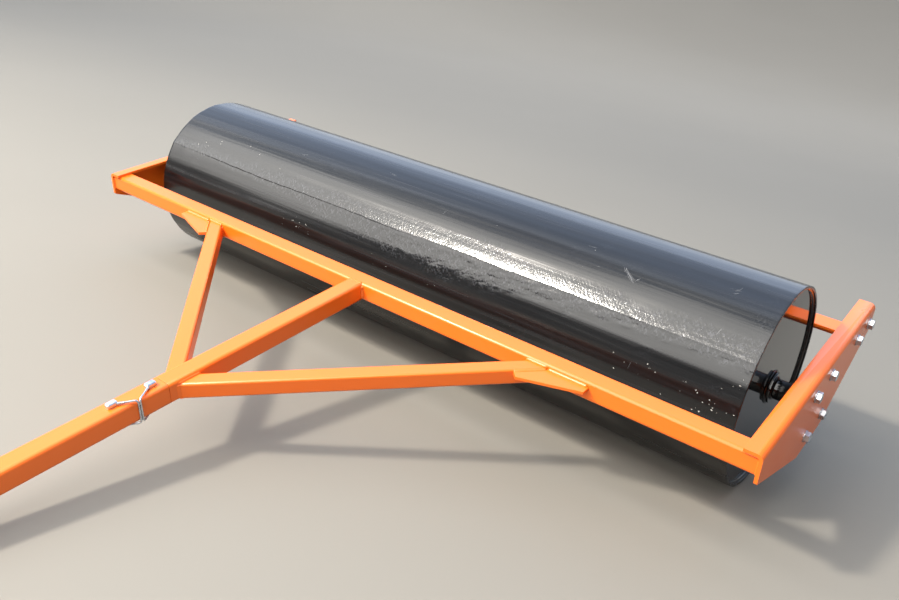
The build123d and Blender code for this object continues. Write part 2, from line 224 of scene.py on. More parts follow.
# %% The dome
world = bpy.data.worlds.new("soft_dome")
bpy.context.scene.world = world
world.use_nodes = True
tree = world.node_tree
tree.nodes.clear()
where = add(tree, "TexCoord")
way = add(tree, "SeparateXYZ", {0: where.outputs["Generated"]})
behind = add(tree, "MapRange", {"Value": way.outputs["Y"], "From Min": -0.35, "From Max": 0.45})
sky_tones = {0: behind.outputs[0], 6: linear("#A2A9B2"), 7: linear("#C4D7F6")}
sky = add(tree, "Mix", sky_tones, data_type="RGBA")
low_tones = {0: behind.outputs[0], 6: linear("#5E6064"), 7: linear("#CBD2DA")}
horizon = add(tree, "Mix", low_tones, data_type="RGBA")
height = add(tree, "MapRange", {"Value": way.outputs["Z"], "From Min": 0.15, "From Max": 0.4})
dome = add(tree, "Mix", {
    0: height.outputs[0], 6: horizon.outputs[2], 7: sky.outputs[2]}, data_type="RGBA")
dim_side = add(tree, "MapRange", {
    "Value": way.outputs["X"], "From Min": -0.1, "From Max": 0.5, "To Min": 2.1, "To Max": 1.0})
glow = add(tree, "Background", {"Color": dome.outputs[2], "Strength": dim_side.outputs[0]})
add(tree, "OutputWorld", {"Surface": glow.outputs[0]})
print("The dome has", len(tree.nodes), "nodes")

# %% The lights
def softbox(name, place, aim, width, depth, radiance, colour):
    """An area light that faces a point, as bright as radiance says, its width lying along the drum."""
    light = bpy.data.lights.new(name, "AREA")
    light.shape = "RECTANGLE"
    light.size = width
    light.size_y = depth
    light.energy = radiance * math.pi * width * depth
    light.color = linear(colour)[:3]
    lamp = bpy.data.objects.new(name, light)
    back = (Vector(place) - Vector(aim)).normalized()
    side = (Vector((1, 0, 0)) - back * back.x).normalized()
    turn = Matrix((side, back.cross(side), back)).transposed().to_4x4()
    lamp.matrix_world = Matrix.Translation(place) @ turn
    lamp.visible_camera = False
    bpy.context.scene.collection.objects.link(lamp)


def mirrored(x, angle):
    """The drum's skin at x and at an angle up from straight ahead, and where it mirrors the camera."""
    rise = math.radians(angle)
    normal = Vector((0, -math.cos(rise), math.sin(rise)))
    point = Vector((x, 0, 0)) + normal * DRUM_RADIUS
    away = (CAMERA_PLACE - point).normalized()
    heading = 2 * normal.dot(away) * normal - away
    return STAND @ (point * MM), (STAND.to_3x3() @ heading).normalized()


def strip(name, low_angle, high_angle, distance, x, width, radiance, colour):
    """A softbox along the drum whose mirror image fills the skin between two angles, in degrees."""
    spot, heading = mirrored(CAMERA_PLACE.x, (low_angle + high_angle) / 2)
    depth = 2 * distance * math.tan(math.radians(high_angle - low_angle))
    place = spot + heading * distance
    place.x = x
    softbox(name, place, (x, spot.y, spot.z), width, depth, radiance, colour)


SUNNY = "#FFF8EC"
KEY_DISTANCE = 9.0
# name, the lowest and highest angle that it fills, distance, middle and width along x in metres,
# radiance, colour
STRIPS = [
    ("glint_strip", 44.6, 45.3, KEY_DISTANCE, -4.6, 3.0, 80.0, SUNNY),
    ("end_glint_strip", 44.6, 45.3, KEY_DISTANCE, -1.35, 0.5, 80.0, SUNNY),
    ("front_softbox", 27.0, 60.0, 5.5, -3.2, 11.5, 4.4, "#FFFBF4"),
    ("overhead_softbox", 64.5, 69.5, 4.5, -3.0, 9.0, 1.8, "#E6EDF8"),
    ("rear_softbox", 91.0, 105.0, 9.0, -5.5, 16.0, 0.45, "#DCE8FA")]
spot, heading = mirrored(400, 44.5)
softbox("key_light", spot + heading * KEY_DISTANCE, spot, 0.75, 0.75, 640.0, SUNNY)
for row in STRIPS:
    strip(*row)
softbox("sweep_softbox", (-3.0, 6.5, 5.0), (-4.0, 13.0, 0.8), 16.0, 2.4, 5.0, SUNNY)

# %% [markdown]
# ## Paints and metals
# The frame is mild steel with a sprayed gloss enamel, thick enough to round every edge. Sprayed
# enamel dries with a faint orange peel and is a little duller in some places than in others, so the
# reflection is clear but not perfect. The drum has a black enamel over rolled plate. Castings,
# bright zinc and rubber follow. Each surface is one shader, and its patterns come from noise at the
# size that the real ones have.

# %% Orange enamel
ENAMEL_IOR = 1.52


def enamel(name, base, peel, gloss):
    """Sprayed gloss enamel: peel is the orange peel's height in millimetres, gloss the roughness."""
    material, tree, output, where = surface(name)
    drift = add(tree, "TexNoise", {"Vector": where, "Scale": 5.0, "Detail": 2.0})
    # orange peel has cells of 1 to 2 mm; drawn at 4 mm, so that it shows in the picture
    cells = add(tree, "TexNoise", {"Vector": where, "Scale": 250.0, "Detail": 1.0})
    swell = add(tree, "TexNoise", {"Vector": where, "Scale": 22.0, "Detail": 1.0})
    heights = add(tree, "Math", {0: cells.outputs["Fac"], 1: peel}, operation="MULTIPLY")
    total = add(tree, "Math", {
        0: swell.outputs["Fac"], 1: peel * 5, 2: heights.outputs[0]}, operation="MULTIPLY_ADD")
    bump = add(tree, "Bump", {"Strength": 1.0, "Distance": MM, "Height": total.outputs[0]})
    haze = add(tree, "MapRange", {
        "Value": drift.outputs["Fac"], "To Min": gloss * 0.8, "To Max": gloss * 1.3})
    shader = add(tree, "BsdfPrincipled", {
        "Base Color": linear(base), "Roughness": haze.outputs[0],
        "IOR": ENAMEL_IOR, "Normal": bump.outputs[0]})
    tree.links.new(shader.outputs[0], output.inputs["Surface"])
    return material


orange_enamel = enamel("orange_gloss_enamel", ORANGE, 0.02, 0.29)
black_enamel = enamel("black_gloss_enamel", "#0C0C0D", 0.008, 0.07)
print("Enamels:", orange_enamel.name, black_enamel.name)

# %% [markdown]
# The drum's plate was rolled, welded along one line and ground by hand, and then painted thinly. So
# its gloss is broken by streaks along the plate, which are duller and a little paler, and by grinding
# marks and gouges beside the weld, where the thin paint is paler on the high spots. A value stored
# on the mesh, called ground, says how much of the grinder's work shows at each point, and another,
# called plate, says where the point is on the plate, so that a mark can cross the weld.

# %% Streaks and grinding marks on the plate
drum_enamel, tree, output, where = surface("black_enamel_on_rolled_plate")
ground = add(tree, "Attribute", attribute_name="ground")
plate = add(tree, "Attribute", attribute_name="plate")


def grinding(turn, length, width, roughness=0.5):
    """Marks that lie turned on the plate; their length and width are in metres."""
    cells = add(tree, "Mapping", {
        "Vector": plate.outputs["Vector"], "Rotation": (0.0, 0.0, turn),
        "Scale": (length, width, 1.0)}, vector_type="TEXTURE")
    marks = add(tree, "TexNoise", {
        "Vector": cells.outputs[0], "Scale": 1.0, "Detail": 2.0, "Roughness": roughness})
    return marks.outputs["Fac"]


# mill streaks are 5 to 20 mm wide and run the length of the plate
streaks = add(tree, "Mapping", {"Vector": where, "Scale": (1.3, 60.0, 60.0)})
streak = add(tree, "TexNoise", {"Vector": streaks.outputs[0], "Scale": 1.0, "Detail": 3.0})
# grinding marks are 1 to 2 mm wide and 10 to 20 mm long, nearly across the weld in two directions;
# drawn 5 mm wide
mark_one = grinding(1.1, 0.015, 0.005)
mark_two = grinding(2.3, 0.017, 0.005)
both = add(tree, "Math", {0: mark_one, 1: mark_two}, operation="ADD")
# below the weld, from the middle to the right, the grinder also left shallow gouges, 20 mm wide and
# twice as long
gouge = grinding(0.2, 0.05, 0.024, 0.4)
# patches of 70 mm make the ground band's edge ragged, and pits lie 9 mm apart; the thin paint's own
# waves are 1 to 2 mm apart, and drawn at 5 mm, so that they show
patches = add(tree, "TexNoise", {"Vector": where, "Scale": 14.0, "Detail": 4.0})
pits = add(tree, "TexNoise", {"Vector": where, "Scale": 110.0, "Detail": 3.0})
fine = add(tree, "TexNoise", {"Vector": where, "Scale": 190.0, "Detail": 2.0})
print("Patterns of the plate:", len(tree.nodes), "nodes")

# %% Relief of the plate, in millimetres
STREAK_MM, MARK_MM, GOUGE_MM, FINE_MM = 0.62, 0.27, 2.6, 0.018
# the value called ground falls to 0 at the edge of the ground band, which patches make ragged
ragged = add(tree, "Math", {0: patches.outputs["Fac"], 1: 1.4, 2: -0.7}, operation="MULTIPLY_ADD")
worn = add(tree, "Math", {0: ground.outputs["Fac"], 1: ragged.outputs[0]}, operation="ADD")
mask = add(tree, "MapRange", {"Value": worn.outputs[0], "From Min": 0.1, "From Max": 0.6})
level = add(tree, "Math", {0: pits.outputs["Fac"], 1: 0.9, 2: -1.45}, operation="MULTIPLY_ADD")
rough = add(tree, "Math", {0: both.outputs[0], 1: level.outputs[0]}, operation="ADD")
rough_part = add(tree, "Math", {0: rough.outputs[0], 1: mask.outputs[0]}, operation="MULTIPLY")
rough_mm = add(tree, "Math", {0: rough_part.outputs[0], 1: MARK_MM}, operation="MULTIPLY")
on_sheet = add(tree, "SeparateXYZ", {0: plate.outputs["Vector"]})
gouge_mm = add(tree, "MapRange", {
    "Value": on_sheet.outputs["X"], "From Min": -0.2, "From Max": 0.15, "To Max": GOUGE_MM})
under = add(tree, "MapRange", {
    "Value": on_sheet.outputs["Y"], "From Min": -4 * MM, "From Max": -12 * MM,
    "To Max": gouge_mm.outputs[0]})
gouged = add(tree, "Math", {0: gouge, 1: 0.5}, operation="SUBTRACT")
deep = add(tree, "Math", {0: under.outputs[0], 1: mask.outputs[0]}, operation="MULTIPLY")
cut_mm = add(tree, "Math", {
    0: gouged.outputs[0], 1: deep.outputs[0], 2: rough_mm.outputs[0]}, operation="MULTIPLY_ADD")
relief = add(tree, "Math", {
    0: streak.outputs["Fac"], 1: STREAK_MM, 2: cut_mm.outputs[0]}, operation="MULTIPLY_ADD")
relief_all = add(tree, "Math", {
    0: fine.outputs["Fac"], 1: FINE_MM, 2: relief.outputs[0]}, operation="MULTIPLY_ADD")
bump = add(tree, "Bump", {"Strength": 1.0, "Distance": MM, "Height": relief_all.outputs[0]})
print("With the relief:", len(tree.nodes), "nodes")

# %% Gloss and colour of the plate
# the streaks are duller and a little paler, and on the high spots of the grinding marks the paint is thin
# and pale
haze = add(tree, "MapRange", {
    "Value": streak.outputs["Fac"], "From Min": 0.3, "From Max": 0.7, "To Min": 0.18, "To Max": 0.3})
gloss = add(tree, "MapRange", {
    "Value": mask.outputs[0], "To Min": haze.outputs[0], "To Max": 0.16})
thin = add(tree, "MapRange", {"Value": both.outputs[0], "From Min": 0.97, "From Max": 1.42})
bare = add(tree, "Math", {0: thin.outputs[0], 1: mask.outputs[0]}, operation="MULTIPLY")
# the base colour is a little paler along the streaks
streak_pale = add(tree, "MapRange", {
    "Value": streak.outputs["Fac"], "From Min": 0.5, "From Max": 0.8, "To Max": 0.25})
pale = add(tree, "Math", {0: bare.outputs[0], 1: streak_pale.outputs[0]}, operation="MAXIMUM")
film = add(tree, "Mix", {
    0: pale.outputs[0], 6: linear("#0A0A0B"), 7: linear("#3A3B3F")}, data_type="RGBA")
shader = add(tree, "BsdfPrincipled", {
    "Base Color": film.outputs[2], "Roughness": gloss.outputs[0],
    "IOR": ENAMEL_IOR, "Normal": bump.outputs[0]})
tree.links.new(shader.outputs[0], output.inputs["Surface"])
print("Drum enamel has", len(tree.nodes), "nodes")

# %% [markdown]
# The bearing housings are grey iron cast in sand and painted black; the sand leaves grains of about
# a millimetre. Bolts and lock pins are steel with bright zinc plate, slightly blue and slightly
# uneven. The bearing's outer ring is ground steel with a trace of grease. Seals are nitrile rubber.

# %% Castings, zinc, bearing steel and rubber
def grained(name, pale, dark, grain, relief, metal, low_gloss, high_gloss):
    """A surface of grains: grain is their size in millimetres, relief their height."""
    material, tree, output, where = surface(name)
    grains = add(tree, "TexNoise", {"Vector": where, "Scale": 1000 / grain / 2, "Detail": 3.0})
    stains = add(tree, "TexNoise", {"Vector": where, "Scale": 60.0, "Detail": 3.0})
    colour = add(tree, "Mix", {
        0: stains.outputs["Fac"], 6: linear(dark), 7: linear(pale)}, data_type="RGBA")
    height = add(tree, "Math", {0: grains.outputs["Fac"], 1: relief}, operation="MULTIPLY")
    bump = add(tree, "Bump", {"Strength": 1.0, "Distance": MM, "Height": height.outputs[0]})
    haze = add(tree, "MapRange", {
        "Value": stains.outputs["Fac"], "From Min": 0.3, "From Max": 0.7,
        "To Min": low_gloss, "To Max": high_gloss})
    shader = add(tree, "BsdfPrincipled", {
        "Base Color": colour.outputs[2], "Metallic": metal,
        "Roughness": haze.outputs[0], "Normal": bump.outputs[0]})
    tree.links.new(shader.outputs[0], output.inputs["Surface"])
    return material


painted_casting = grained("painted_sand_casting", "#17181A", "#0C0D0E", 1.6, 0.25, 0.0, 0.22, 0.38)
bright_zinc = grained("bright_zinc_plate", "#D9DDE2", "#AEB4BC", 2.0, 0.02, 1.0, 0.22, 0.38)
bearing_steel = grained("greased_bearing_steel", "#A9ABAE", "#6A6864", 1.0, 0.01, 1.0, 0.12, 0.28)
nitrile_rubber = grained("nitrile_rubber", "#1C1C1D", "#131314", 0.8, 0.03, 0.0, 0.5, 0.65)
small_parts = (painted_casting, bright_zinc, bearing_steel, nitrile_rubber)
print("Small-part materials:", [material.name for material in small_parts])

# %% [markdown]
# ## Dress the CAD parts
# The tubes and folded plates have the right shapes already. On the real frame no edge is sharp,
# because the plates' cut edges were dressed and the paint rounds them off. The mesh of a CAD part
# is not to be changed, but a modifier may be stacked on it: one joins its faces, and one rounds the
# edges by less than a millimetre and shades the rounding smoothly. The lock pins' heads are
# castings, and their edges are rounder.

# %% Paint on the CAD parts
SIDES = {"left": -1, "right": 1}
PAINT_ROUNDING = 0.9
CAST_ROUNDING = 2.2
SHARP_ANGLE = 38.0          # an edge with a sharper turn than this is rounded
orange_parts = [
    "end_member_left", "end_member_right", "front_beam", "rear_bar", "rear_bar_plate_left",
    "rear_bar_plate_right", "centre_tube", "brace_left", "brace_right", "gusset_left", "gusset_right",
    "drawbar", "clevis_plate_top", "clevis_plate_bottom"]
paints = {name: orange_enamel for name in orange_parts}
paints["spigot"] = bright_zinc
for side in SIDES:
    paints["end_disc_" + side] = black_enamel
    paints["stub_axle_" + side] = black_enamel
    paints["bearing_housing_" + side] = painted_casting
    paints["bearing_ring_" + side] = bearing_steel
for place in ("front", "rear"):
    paints["lock_pin_" + place] = bright_zinc


def dress(node, material, rounding):
    """Give a CAD part its paint and round its sharp edges."""
    part = frame["nodes"][node]
    part.data.materials.clear()
    part.data.materials.append(material)
    join = part.modifiers.new("join_faces", "WELD")
    join.merge_threshold = 0.02 * MM
    edge = part.modifiers.new("round_edges", "BEVEL")
    edge.width = rounding * MM
    edge.segments = 2
    edge.limit_method = "ANGLE"
    edge.angle_limit = math.radians(SHARP_ANGLE)
    edge.harden_normals = True


for node, material in paints.items():
    dress(node, material, CAST_ROUNDING if node.startswith("lock_pin") else PAINT_ROUNDING)
print("Dressed", len(paints), "CAD parts")

# %% [markdown]
# ## Pieces in mesh code
# Every piece that follows is a list of points and faces in millimetres from the axle. One function
# turns them into an object that stands with the leaning frame and rides on its body. Another joins
# the lists of several beads or rings, so that a row of welds or a whole bolt is one piece.

# %% From points to a piece
def piece(name, points, faces, material, body, slot, sharp):
    """A mesh from points in millimetres, in place, painted and riding on a body. An edge that turns
    by more than sharp, in degrees, stays sharp."""
    data = bpy.data.meshes.new(name)
    data.from_pydata((np.asarray(points, float) * MM).tolist(), [], faces)
    data.transform(STAND)
    data.materials.append(material)
    data.polygons.foreach_set("use_smooth", [True] * len(data.polygons))
    data.set_sharp_from_angle(angle=math.radians(sharp))
    data.validate()
    made = bpy.data.objects.new(name, data)
    bpy.context.scene.collection.objects.link(made)
    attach(made, body)
    return made


def joined(parts):
    """Several pairs of points and faces as one."""
    points, faces, start = [], [], 0
    for part_points, part_faces in parts:
        points.append(part_points)
        faces += [tuple(start + i for i in face) for face in part_faces]
        start += len(part_points)
    return np.concatenate(points), faces


# material, body and record slot, as piece() takes them
ORANGE_ON_FRAME = (orange_enamel, "frame", "orange_paint")
ZINC_ON_FRAME = (bright_zinc, "frame", "zinc_plate")
two_squares = joined([([(0, 0, 0)] * 4, [(0, 1, 2, 3)])] * 2)
print("Two squares joined:", two_squares[1])

# %% [markdown]
# ## The drum's skin
# The drum is a length of steel plate, pressed into a tube over many small bends and closed by one
# weld along it. That leaves faint flats between the bends, and a low ridge at the weld, which the
# light picks out. A cylinder with a picture on it could not catch the light so. The skin is a fine
# grid instead, whose rows follow the weld's slightly wandering line, and each point is moved in or
# out by less than three millimetres: the ridge, the flats, a few dents and broad swellings, and a
# small step under the weld. The grid closes on itself over the rims and inside the shell.

# %% Where the weld runs
DRUM_X = drum_middle.x / MM
SHELL_WALL = 8.0
# places along the drum from its middle, and the weld's angle up from straight ahead
WELD_ALONG = [-1000, -861, -556, -266, 4, 173, 335, 539, 700, 871, 1000]
WELD_ANGLE = [41.6, 41.5, 40.0, 40.3, 39.6, 40.8, 40.3, 40.7, 40.2, 40.5, 40.4]
GROUND_ALONG = [-1000, -820, -600, -420, -150, 60, 260, 480, 700, 900, 1000]
GROUND_ABOVE = [26, 30, 34, 44, 40, 46, 52, 46, 50, 60, 50]     # width of the ground band, mm
GROUND_BELOW = [10, 12, 14, 26, 60, 88, 80, 44, 26, 24, 30]
# dents beside the weld: along, millimetres above the weld, radius, depth
DENTS = [
    (-417, -1, 4, 0.8), (-353, 7, 3, 0.5), (689, 9, 4, 0.7), (702, -6, 7, 0.9),
    (798, 7, 3.5, 0.7), (828, 3, 5, 0.6)]
# broad swellings of the plate: along, millimetres above the weld, half length, half width, height
SWELLS = [
    (820, 112, 190, 30, 1.3), (400, 95, 170, 20, -0.6), (-400, -80, 220, 25, 1.0),
    (-880, -75, 150, 22, -0.6), (870, -75, 150, 22, -0.5)]


def waves(x, y, lengths, seed):
    """Smooth noise between -1 and 1: a sum of a few waves in different directions."""
    pick = np.random.default_rng(seed)
    total = np.zeros(np.broadcast(x, y).shape)
    for length in lengths:
        a = pick.uniform(0, math.tau)
        phase = math.tau * (x * math.cos(a) + y * math.sin(a)) / length
        total = total + np.sin(phase + pick.uniform(0, math.tau))
    return total / len(lengths)


COLUMNS = 296               # between the two rims, whose edges are dressed over the last millimetre
along = np.concatenate([[-1000, -999.7, -999.0], np.linspace(-994, 994, COLUMNS), [999.0, 999.7, 1000]])
chamfer = np.concatenate([[1.0, 0.3, 0.0], np.zeros(COLUMNS), [0.0, 0.3, 1.0]])
WANDER = 1.3                # the weld strays this far from its line, in mm
weld_angle = np.radians(np.interp(along, WELD_ALONG, WELD_ANGLE))
weld_angle += WANDER / DRUM_RADIUS * waves(along, 0 * along, [140, 83, 47, 29], 2)
half_way = math.pi * DRUM_RADIUS
# rows are close together beside the weld and wider apart further off
near = np.array([
    0, 1.2, 2.6, 4.4, 6.6, 9.2, 12.2, 15.6, 19.4, 23.6, 28.2, 33.2, 38.6, 44.4, 50.6, 57.2, 64.2])
far = np.linspace(near[-1] + 7.4, half_way, 96)
over = np.concatenate([near, far])
from_weld = np.concatenate([over, -over[-2:0:-1]])
print("Skin grid:", len(along), "by", len(from_weld))

# %% The shape of the skin
X, S = np.meshgrid(along, from_weld)
angle = weld_angle[None, :] + S / DRUM_RADIUS
arc = angle * DRUM_RADIUS

# the plate's two ends meet at a blunt angle: straight for 14 mm to each side, then eased into the round
STRAIGHT, EASED = 14.0, 40.0
RIDGE_SLOPE = 0.0875
slope = RIDGE_SLOPE * (1 + 0.12 * waves(X, 0 * X, [310, 170, 95, 61], 3))
off_weld = np.abs(S)
ridge = (STRAIGHT + EASED) / 2 - off_weld
ease = np.clip(EASED - off_weld, 0, None) ** 2 / (2 * (EASED - STRAIGHT))
out = slope * np.where(off_weld < STRAIGHT, ridge, ease)
# the press leaves broad bends round the drum, and its rolls leave narrower ones between them
BROAD_BENDS, BROAD_DEPTH = 20, 0.42
FINE_BENDS, FINE_DEPTH = 47, 0.12
slow = 0.35 * waves(X, 0 * X, [1500, 900, 2600], 5)
away_from_weld = np.clip(off_weld / 60 - 0.4, 0, 1)
bend_depth = BROAD_DEPTH * (0.75 + 0.25 * waves(X, 3 * S, [900, 1300], 6))
out += bend_depth * away_from_weld * np.cos(BROAD_BENDS * angle + 1.1 + slow)
out += FINE_DEPTH * away_from_weld * np.cos(FINE_BENDS * angle + 2.0 + 2 * slow)
for dent_x, dent_s, dent_radius, depth in DENTS:
    out -= depth * np.exp(-((X - dent_x) ** 2 + (S - dent_s) ** 2) / dent_radius ** 2)
for swell_x, swell_s, half_long, half_wide, rise in SWELLS:
    out += rise * np.exp(-((X - swell_x) / half_long) ** 2 - ((S - swell_s) / half_wide) ** 2)
# the weld stands 0.3 to 0.7 mm proud of the plate below it, which the light draws as a thin dark line
STEP_WIDTH, STEP_FADE = 3.0, 14.0
proud = np.interp(along, [-1000, -700, -100, 100, 1000], [0.35, 0.7, 0.7, 0.3, 0.35])[None, :]
step_down = np.minimum(-S / STEP_WIDTH, np.exp((S + STEP_WIDTH) / STEP_FADE))
out -= proud * np.where(S > 0, 0, step_down)
above = np.interp(along, GROUND_ALONG, GROUND_ABOVE)[None, :]
below = np.interp(along, GROUND_ALONG, GROUND_BELOW)[None, :]
reach = np.where(S > 0, above, below)
ground_here = np.clip(1.25 - off_weld / reach, 0, 1)
out += 0.06 * ground_here * waves(X, arc, [34, 27, 22, 41, 30], 8)
out -= chamfer[None, :]
radius = DRUM_RADIUS - 0.6 + out

outer = np.stack([X + DRUM_X, -radius * np.cos(angle), radius * np.sin(angle)], -1)
inner_x = np.array([DRUM_HALF, DRUM_HALF - 0.6, 500.0, 0.0, -500.0, 0.6 - DRUM_HALF, -DRUM_HALF])
inner_r = DRUM_RADIUS - SHELL_WALL + np.array([0.6, 0.0, 0, 0, 0, 0.0, 0.6])
IX, IA = np.meshgrid(inner_x, angle[:, 0])
IR = np.broadcast_to(inner_r, IX.shape)
inner = np.stack([IX + DRUM_X, -IR * np.cos(IA), IR * np.sin(IA)], -1)
skin_points = np.concatenate([outer, inner], 1)
rows, columns = skin_points.shape[:2]
skin_faces = grid_faces(rows, columns, close_rows=True, close_columns=True)
drum_skin = piece(
    "drum_skin", skin_points.reshape(-1, 3), skin_faces, drum_enamel, "drum", "black_paint", sharp=40)
store = drum_skin.data.attributes.new("ground", "FLOAT", "POINT")
worn_values = np.concatenate([ground_here, np.zeros(IX.shape)], 1)
store.data.foreach_set("value", worn_values.astype(np.float32).ravel())
inside = np.zeros(IX.shape)
plate_x = np.concatenate([X, inside], 1)
plate_s = np.concatenate([S, inside], 1)
on_plate = np.stack([plate_x, plate_s, 0 * plate_s], -1)
store = drum_skin.data.attributes.new("plate", "FLOAT_VECTOR", "POINT")
store.data.foreach_set("vector", (on_plate * MM).astype(np.float32).ravel())
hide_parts("drum_shell")
print("Skin faces:", len(skin_faces))
print("Radius from", round(radius.min(), 2), "to", round(radius.max(), 2), "mm")

# %% [markdown]
# ## Welds
# A weld bead is a row of frozen ripples, two to three millimetres apart, that lean back along the
# weld. The bead could be a bent tube, but it has to sit in its corner and meet both faces at a thin
# toe. So its section is a curve from one toe over a crown to the other, carried along the joint. Its
# size swells and shrinks with each ripple, and both ends are rounded off.

# %% The weld maker
RIPPLE = 2.6                # from one ripple to the next
FILLET_CROWN = 0.62         # how far a fillet weld swells out of its corner, in legs


def strand(path, toe_a, toe_b, crown, pitch, closed=False, seed=1):
    """Points and faces of one bead. Path, toes and crown are arrays with one row per step; the
    toes and the crown are measured from the path."""
    path, toe_a, toe_b, crown = (np.asarray(v, float) for v in (path, toe_a, toe_b, crown))
    hop = np.linalg.norm(np.diff(path, axis=0), axis=1)
    run = np.concatenate([[0], np.cumsum(hop)])
    lean = np.linspace(-1, 1, 7)
    t = (lean + 1) / 2
    lag = pitch * 0.55 * (1 - lean ** 2)        # a ripple's crown lags half a ripple behind its toes
    phase = (run[:, None] - lag[None, :]) / pitch
    size = 1 + 0.09 * np.abs(np.sin(math.pi * phase)) + 0.06 * waves(run[:, None], 0, [19, 31, 13], seed)
    if not closed:
        end = np.minimum(run, run[-1] - run)
        leg = np.linalg.norm(crown, axis=1)
        size *= np.sqrt(np.clip(1 - (1 - np.clip(end / (leg * 1.2), 0, 1)) ** 2, 0.02, 1))[:, None]
    control = 2 * crown - (toe_a + toe_b) / 2
    t = t[None, :, None]
    curve = (1 - t) ** 2 * toe_a[:, None] + 2 * t * (1 - t) * control[:, None] + t ** 2 * toe_b[:, None]
    bead = path[:, None] + curve * size[:, :, None]
    root = path[:, None] - 0.12 * crown[:, None]        # a little inside the joint
    ring = np.concatenate([bead, root], 1)
    steps, across = ring.shape[:2]
    faces = grid_faces(steps, across, close_rows=closed, close_columns=True)
    if not closed:
        faces += [tuple(range(across))[::-1], tuple(range((steps - 1) * across, steps * across))]
    if np.cross(crown[0], toe_b[0] - toe_a[0]) @ (path[1] - path[0]) < 0:
        faces = [face[::-1] for face in faces]          # so that they face outward
    return ring.reshape(-1, 3), faces


def groove(start, end, u, v, normal, half, crown, seed):
    """A flat weld that fills a groove: half its width to each side, crown its height."""
    start, end, u, v, normal = (np.asarray(a, float) for a in (start, end, u, v, normal))
    count = max(6, int(np.linalg.norm(end - start) / (RIPPLE / 3)))
    path = start + np.linspace(0, 1, count)[:, None] * (end - start)
    one = np.ones((count, 1))
    return strand(path, one * u * half, one * v * half, one * normal * crown, RIPPLE, seed=seed)


def straight(start, end, u, v, leg, seed):
    """A fillet weld from start to end, between faces that leave the joint along u and v."""
    return groove(start, end, u, v, np.add(u, v), leg, leg * FILLET_CROWN, seed)


def welded(name, beads, material, body, slot):
    """Several beads as one piece."""
    piece(name, *joined(beads), material, body, slot, sharp=60)


test_bead = straight((0, 0, 0), (50, 0, 0), (0, 1, 0), (0, 0, 1), 5, 1)
print("A bead 50 mm long has", len(test_bead[1]), "faces")

# %% [markdown]
# The joints of the frame are listed here, each with the two faces that it lies between. The places
# come from the same sizes as the CAD: 50 mm tube with its top 90 mm above the axle, 40 mm braces at
# 45 degrees, and gussets 13 mm below the tubes' top.

# %% Welds of the drawbar frame
TUBE_TOP, TUBE_LOW = 90.0, 40.0
BEAM_FACE = -385.0
BRACE_TOP = 80.0
APEX_Y = -951.0
HALF_TUBE = 25.0
BRACE_CUT = 40.0 / math.sqrt(2)         # half the length of a brace's slanting end
GUSSET_TOP, GUSSET_LOW = 77.0, 69.0
ALONG_BEAM, ALONG_BRACE = 103.0, 78.0   # how far a gusset's welds run
UP, DOWN, AHEAD, BACK = (0, 0, 1), (0, 0, -1), (0, -1, 0), (0, 1, 0)
LEG = 5.0
ROOT = math.sqrt(0.5)
GROOVE_DEEP = 2.6           # a groove's root lies this far under the face that it fills up to
SEAM_BACK = 3.2             # and this far behind the beam's face, where the tubes are rounded
CORNER_GAP = 6.0            # an upright bead stops this far from the tube's top and bottom

centre_beads = []
for out_x in (-1, 1):
    corner = (out_x * HALF_TUBE, BEAM_FACE)
    start, end = (*corner, TUBE_LOW + CORNER_GAP), (*corner, TUBE_TOP - CORNER_GAP)
    centre_beads.append(straight(start, end, AHEAD, (out_x, 0, 0), LEG, seed=3 + out_x))
for z, rise, seed in ((TUBE_TOP - GROOVE_DEEP, UP, 5), (TUBE_LOW + GROOVE_DEEP, DOWN, 6)):
    start, end = (3 - HALF_TUBE, BEAM_FACE + SEAM_BACK, z), (HALF_TUBE - 3, BEAM_FACE + SEAM_BACK, z)
    centre_beads.append(groove(start, end, AHEAD, BACK, rise, half=6, crown=3.3, seed=seed))
welded("centre_tube_welds", centre_beads, *ORANGE_ON_FRAME)

